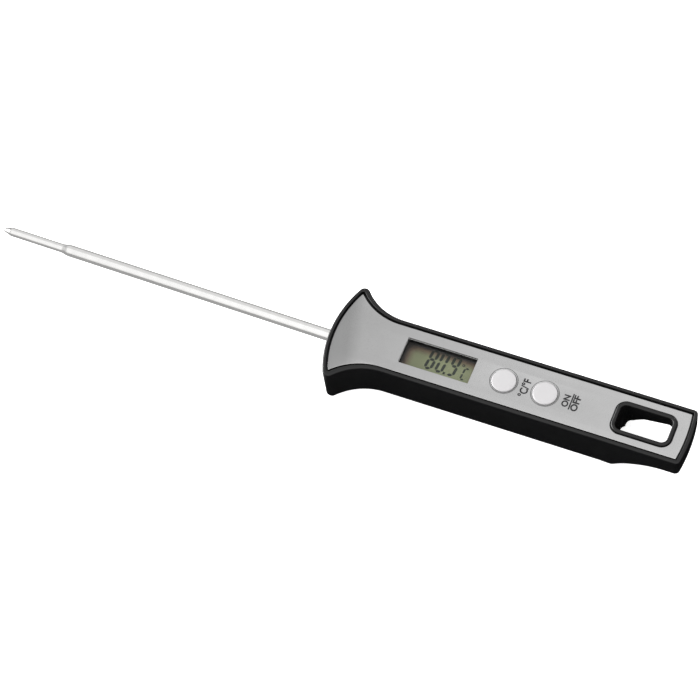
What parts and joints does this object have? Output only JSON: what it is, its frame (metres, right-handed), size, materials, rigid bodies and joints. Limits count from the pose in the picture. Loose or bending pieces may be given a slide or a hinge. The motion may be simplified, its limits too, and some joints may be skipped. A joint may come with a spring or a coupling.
{
  "type": "meat thermometer",
  "caption": "Digital probe thermometer for meat: a steel probe in a black handle with a silver plate, a recessed display, white push buttons and a hanging hole.",
  "frame": {"origin": "under the middle of the guard's bowed front, halfway along the whole thermometer, on the plane of the handle's back", "axes": "+X runs along the handle to its hanging end, and the probe's point is at -X; +Z is the display side; +Y completes a right-handed frame"},
  "size_m": [0.2495, 0.0356, 0.0162],
  "materials": {
    "black_plastic": "moulded black ABS, satin, with a fine moulded grain",
    "silver_plate": "satin silver plate with a bright chamfered edge",
    "adhesive_tape": "thin double-sided tape",
    "inner_plastic": "black moulded ABS, plain",
    "clear_lens": "clear acrylic, polished",
    "lcd_film": "polarizing film, faint olive",
    "lcd_glass": "display cell of two bonded panes",
    "lcd_backing": "olive transflective backing film",
    "zebra_rubber": "conductive elastomer strip",
    "board_green": "glass-epoxy board with green solder mask",
    "black_epoxy": "poured black epoxy over the chip",
    "resistor_black": "ceramic chip with tinned ends",
    "capacitor_brown": "ceramic chip with tinned ends",
    "tinned_metal": "drawn metal can",
    "switch_plastic": "glass-filled moulded body",
    "plunger_plastic": "moulded acetal",
    "button_white": "white moulded plastic, satin",
    "polished_steel": "stainless tube, polished along its length",
    "seal_rubber": "dark red silicone ring",
    "ferrule_brass": "turned brass",
    "zinc_steel": "zinc-plated steel",
    "bead_epoxy": "epoxy-coated sensor bead",
    "potting_compound": "white thermal compound",
    "lead_enamel": "enamelled wire",
    "cell_steel": "nickel-plated steel can",
    "contact_gilt": "gilt spring strip"
  },
  "bodies": {
    "handle": {"housing": "black_plastic", "faceplate": "silver_plate", "plate_tape": "adhesive_tape", "chassis": "inner_plastic", "display_lens": "clear_lens", "lcd_polarizer": "lcd_film", "lcd_glass": "lcd_glass", "lcd_reflector": "lcd_backing", "zebra_strips": "zebra_rubber", "circuit_board": "board_green", "controller_blob": "black_epoxy", "chip_resistors": "resistor_black", "chip_capacitors": "capacitor_brown", "clock_crystal": "tinned_metal", "unit_switch": "switch_plastic", "power_switch": "switch_plastic", "probe_tube": "polished_steel", "probe_seal": "seal_rubber", "probe_ferrule": "ferrule_brass", "probe_clamp": "zinc_steel", "thermistor": "bead_epoxy", "tip_potting": "potting_compound", "sensor_leads": "lead_enamel", "button_cell": "cell_steel", "contact_plus": "contact_gilt", "contact_minus": "contact_gilt", "clamp_screws": "zinc_steel", "chassis_screws": "zinc_steel", "board_screws": "zinc_steel"},
    "unit_key": {"unit_button": "button_white", "unit_plunger": "plunger_plastic"},
    "power_key": {"power_button": "button_white", "power_plunger": "plunger_plastic"},
    "battery_door": {"battery_cover": "black_plastic"}
  },
  "joints": [
    {"name": "unit_press", "type": "slide", "parent": "handle", "child": "unit_key", "axis": [0, 0, -1], "range_m": [0, 0.0007], "stiffness_N_per_m": 1000, "springref_m": -0.0004},
    {"name": "power_press", "type": "slide", "parent": "handle", "child": "power_key", "axis": [0, 0, -1], "range_m": [0, 0.0007], "stiffness_N_per_m": 1000, "springref_m": -0.0004},
    {"name": "cover_slide", "type": "slide", "parent": "handle", "child": "battery_door", "axis": [1, 0, 0], "range_m": [0, 0.032]}
  ]
}
